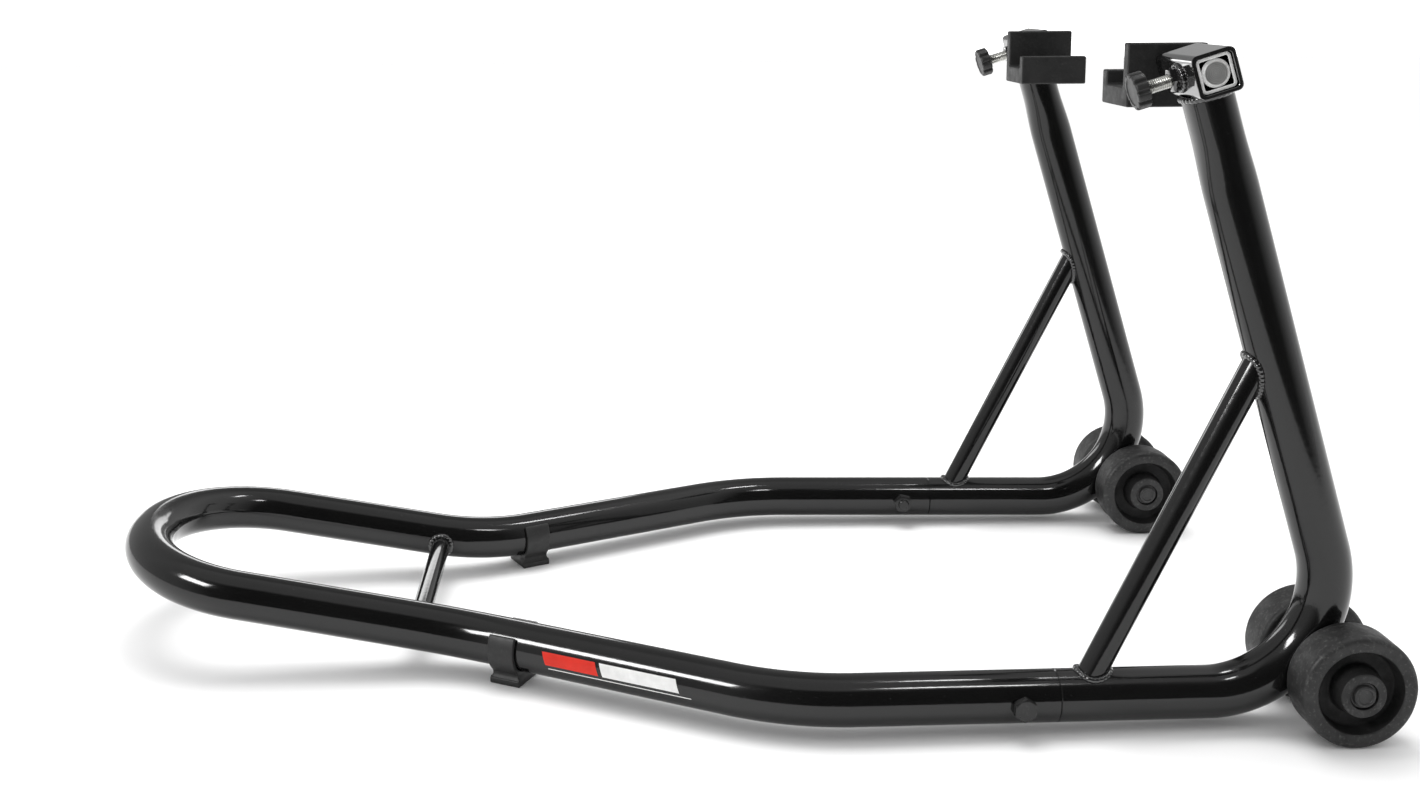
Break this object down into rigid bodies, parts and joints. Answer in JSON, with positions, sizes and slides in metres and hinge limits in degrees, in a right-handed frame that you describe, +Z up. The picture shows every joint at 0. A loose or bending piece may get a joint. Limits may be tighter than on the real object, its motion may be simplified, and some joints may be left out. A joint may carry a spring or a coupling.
{
  "type": "paddock stand",
  "caption": "Rear paddock stand: raised U handle, leaning tube uprights on paired wheels, and sliding, swivelling channel rests with clamp knobs.",
  "frame": {"origin": "bottom centre of the whole stand's box, on the floor", "axes": "+X from the handle to the wheels, +Y to the left, +Z up"},
  "size_m": [0.82, 0.4658, 0.4156],
  "materials": {
    "powder_coat": "gloss black powder coat",
    "black_fastener": "satin black",
    "zinc_steel": "zinc plated",
    "bare_steel": "plain steel",
    "wheel_nylon": "matt, scuffed",
    "rest_rubber": "matt",
    "knob_plastic": "moulded",
    "clip_plastic": "moulded"
  },
  "bodies": {
    "frame": {"handle_tube": "powder_coat", "handle_crossbar": "powder_coat", "joint_bolts": "black_fastener", "joint_nuts": "black_fastener", "axle_washers": "zinc_steel", "axle_caps": "black_fastener", "left_side_tube": "powder_coat", "left_joint_spigot": "bare_steel", "left_brace": "powder_coat", "left_axle_sleeve": "powder_coat", "left_axle": "zinc_steel", "left_rest_sleeve": "powder_coat", "left_clamp_nut": "powder_coat", "left_foot_clip": "clip_plastic", "right_side_tube": "powder_coat", "right_joint_spigot": "bare_steel", "right_brace": "powder_coat", "right_axle_sleeve": "powder_coat", "right_axle": "zinc_steel", "right_rest_sleeve": "powder_coat", "right_clamp_nut": "powder_coat", "right_foot_clip": "clip_plastic"},
    "left_outer_wheel": {"left_outer_wheel": "wheel_nylon"},
    "left_inner_wheel": {"left_inner_wheel": "wheel_nylon"},
    "left_arm": {"left_rest_arm": "zinc_steel", "left_rod_pin": "bare_steel"},
    "left_rest": {"left_pivot_rod": "zinc_steel", "left_rest_bracket": "bare_steel", "left_rest_cover": "rest_rubber"},
    "left_screw": {"left_clamp_screw": "zinc_steel"},
    "left_knob": {"left_clamp_knob": "knob_plastic"},
    "right_outer_wheel": {"right_outer_wheel": "wheel_nylon"},
    "right_inner_wheel": {"right_inner_wheel": "wheel_nylon"},
    "right_arm": {"right_rest_arm": "zinc_steel", "right_rod_pin": "bare_steel"},
    "right_rest": {"right_pivot_rod": "zinc_steel", "right_rest_bracket": "bare_steel", "right_rest_cover": "rest_rubber"},
    "right_screw": {"right_clamp_screw": "zinc_steel"},
    "right_knob": {"right_clamp_knob": "knob_plastic"}
  },
  "joints": [
    {"name": "left_outer_wheel_spin", "type": "hinge", "parent": "frame", "child": "left_outer_wheel", "pos_m": [0.375, 0.2168, 0.035], "axis": [0, 1, 0], "continuous": true},
    {"name": "left_inner_wheel_spin", "type": "hinge", "parent": "frame", "child": "left_inner_wheel", "pos_m": [0.375, 0.1522, 0.035], "axis": [0, 1, 0], "continuous": true},
    {"name": "left_arm_slide", "type": "slide", "parent": "frame", "child": "left_arm", "axis": [0, 1, 0], "range_m": [-0.022, 0.016]},
    {"name": "left_rest_swivel", "type": "hinge", "parent": "left_arm", "child": "left_rest", "pos_m": [0.2775, 0.1845, 0.40024], "axis": [0, 1, 0], "continuous": true},
    {"name": "left_screw_feed", "type": "slide", "parent": "frame", "child": "left_screw", "axis": [-0.9563, 0, -0.2924], "range_m": [0, 0.005]},
    {"name": "left_knob_turn", "type": "hinge", "parent": "left_screw", "child": "left_knob", "pos_m": [0.24164, 0.1845, 0.38928], "axis": [-0.9563, 0, -0.2924], "range_deg": [0, 1440]},
    {"name": "right_outer_wheel_spin", "type": "hinge", "parent": "frame", "child": "right_outer_wheel", "pos_m": [0.375, -0.2168, 0.035], "axis": [0, 1, 0], "continuous": true},
    {"name": "right_inner_wheel_spin", "type": "hinge", "parent": "frame", "child": "right_inner_wheel", "pos_m": [0.375, -0.1522, 0.035], "axis": [0, 1, 0], "continuous": true},
    {"name": "right_arm_slide", "type": "slide", "parent": "frame", "child": "right_arm", "axis": [0, -1, 0], "range_m": [-0.022, 0.016]},
    {"name": "right_rest_swivel", "type": "hinge", "parent": "right_arm", "child": "right_rest", "pos_m": [0.2775, -0.1845, 0.40024], "axis": [0, 1, 0], "continuous": true},
    {"name": "right_screw_feed", "type": "slide", "parent": "frame", "child": "right_screw", "axis": [-0.9563, 0, -0.2924], "range_m": [0, 0.005]},
    {"name": "right_knob_turn", "type": "hinge", "parent": "right_screw", "child": "right_knob", "pos_m": [0.24164, -0.1845, 0.38928], "axis": [-0.9563, 0, -0.2924], "range_deg": [0, 1440]}
  ],
  "couplings": [
    {"joint": "left_screw_feed", "follows": "left_knob_turn", "m_per_rad": 0.00019894},
    {"joint": "right_screw_feed", "follows": "right_knob_turn", "m_per_rad": 0.00019894}
  ]
}
